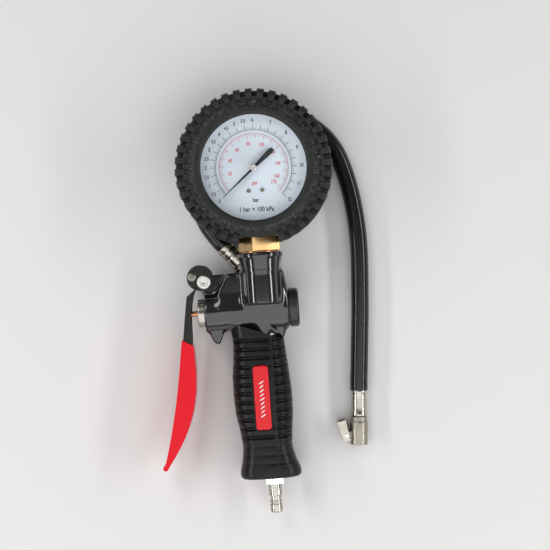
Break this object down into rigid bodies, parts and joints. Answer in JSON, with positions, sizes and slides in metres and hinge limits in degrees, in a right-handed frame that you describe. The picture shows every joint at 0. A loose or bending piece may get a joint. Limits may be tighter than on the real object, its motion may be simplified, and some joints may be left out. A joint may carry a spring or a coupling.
{
  "type": "tyre inflator gun",
  "caption": "Hand tyre inflator: dial gauge in a lugged rubber boot, squeeze lever, ribbed grip, air inlet plug and a hose with a clip-on valve chuck.",
  "frame": {"origin": "centre of the footprint of the tool lying on its back, on the surface it lies on, the hose not counted", "axes": "+Z the way the dial faces; +Y along the tool from the inlet plug to the gauge; +X towards the side where the free hose lies"},
  "size_m": [0.1557, 0.2974, 0.054],
  "materials": {
    "boot_rubber": "matte moulded rubber",
    "black_enamel": "black enamel",
    "clear_lens": "clear moulded lens",
    "seal_rubber": "soft seal rubber",
    "dial_white": "satin white enamel with printed scales",
    "bright_steel": "bright turned steel",
    "pointer_black": "satin black",
    "brass": "machined brass",
    "copper_tone": "red brass",
    "black_paint": "cast alloy with a gloss black coat",
    "dark_metal": "dark grey anodised",
    "nickel": "nickel plate",
    "spring_steel": "spring steel wire",
    "lever_steel": "black oxide pressed steel",
    "red_vinyl": "dipped red vinyl",
    "grip_rubber": "ribbed grip rubber",
    "red_plastic": "gloss red with white printing",
    "hose_rubber": "smooth glossy hose rubber"
  },
  "bodies": {
    "gun": {"gauge_boot": "boot_rubber", "gauge_case": "black_enamel", "bezel_ring": "black_enamel", "gauge_lens": "clear_lens", "lens_gasket": "seal_rubber", "gauge_dial": "dial_white", "dial_screws": "bright_steel", "bourdon_tube": "brass", "gauge_socket": "brass", "movement_plates": "brass", "movement_pillars": "brass", "hairspring": "brass", "gauge_coupling": "brass", "coupling_washer": "copper_tone", "body_casting": "black_paint", "end_cap": "dark_metal", "end_cap_seal": "seal_rubber", "gland_nut": "nickel", "pin_seal": "seal_rubber", "valve_seat": "seal_rubber", "valve_spring": "spring_steel", "pivot_pin": "bright_steel", "pivot_clip": "spring_steel", "lever_spring": "spring_steel", "grip_sleeve": "grip_rubber", "badge_plate": "red_plastic", "inlet_plug": "nickel", "inlet_washer": "seal_rubber", "inlet_filter": "brass", "hose_fitting": "nickel", "gun_ferrule": "nickel", "hose": "hose_rubber", "chuck_ferrule": "nickel", "chuck_stem": "brass", "chuck_body": "nickel", "clip_pin": "bright_steel", "clip_spring": "spring_steel", "chuck_seal": "seal_rubber", "valve_depressor": "brass"},
    "lever": {"lever": "lever_steel", "lever_sleeve": "red_vinyl", "stop_rivet": "bright_steel"},
    "valve": {"push_pin": "copper_tone", "valve_poppet": "brass"},
    "sector": {"sector_gear": "brass"},
    "link": {"tip_link": "brass"},
    "needle": {"pointer": "pointer_black", "pointer_hub": "bright_steel", "pinion_arbor": "brass"},
    "clip": {"chuck_clip": "nickel"}
  },
  "joints": [
    {"name": "lever_swing", "type": "hinge", "parent": "gun", "child": "lever", "pos_m": [-0.0287, 0.0174, 0.02], "axis": [0, 0, 1], "range_deg": [0, 9.8], "stiffness_Nm_per_rad": 1, "springref_deg": -11.46, "deforming": ["lever_spring"]},
    {"name": "valve_slide", "type": "slide", "parent": "gun", "child": "valve", "axis": [1, 0, 0], "range_m": [0, 0.0038], "stiffness_N_per_m": 500, "springref_m": -0.001, "deforming": ["valve_spring"]},
    {"name": "sector_swing", "type": "hinge", "parent": "gun", "child": "sector", "pos_m": [0.012, 0.07469, 0.037], "axis": [0, 0, 1], "range_deg": [0, 27], "stiffness_Nm_per_rad": 0.004, "springref_deg": -2.86},
    {"name": "needle_spin", "type": "hinge", "parent": "gun", "child": "needle", "pos_m": [0.012, 0.094, 0.045], "axis": [0, 0, -1], "range_deg": [0, 270], "deforming": ["hairspring"]},
    {"name": "link_swing", "type": "hinge", "parent": "sector", "child": "link", "pos_m": [0.02, 0.07469, 0.0382], "axis": [0, 0, 1], "range_deg": [-27, 0]},
    {"name": "clip_swing", "type": "hinge", "parent": "gun", "child": "clip", "pos_m": [0.06505, -0.09912, 0.0064], "axis": [0, 0, -1], "range_deg": [0, 12], "stiffness_Nm_per_rad": 0.01, "springref_deg": -11.46, "deforming": ["clip_spring"]}
  ],
  "couplings": [
    {"joint": "valve_slide", "follows": "lever_swing", "m_per_rad": 0.022},
    {"joint": "needle_spin", "follows": "sector_swing", "ratio": 10},
    {"joint": "link_swing", "follows": "sector_swing", "ratio": -1}
  ]
}
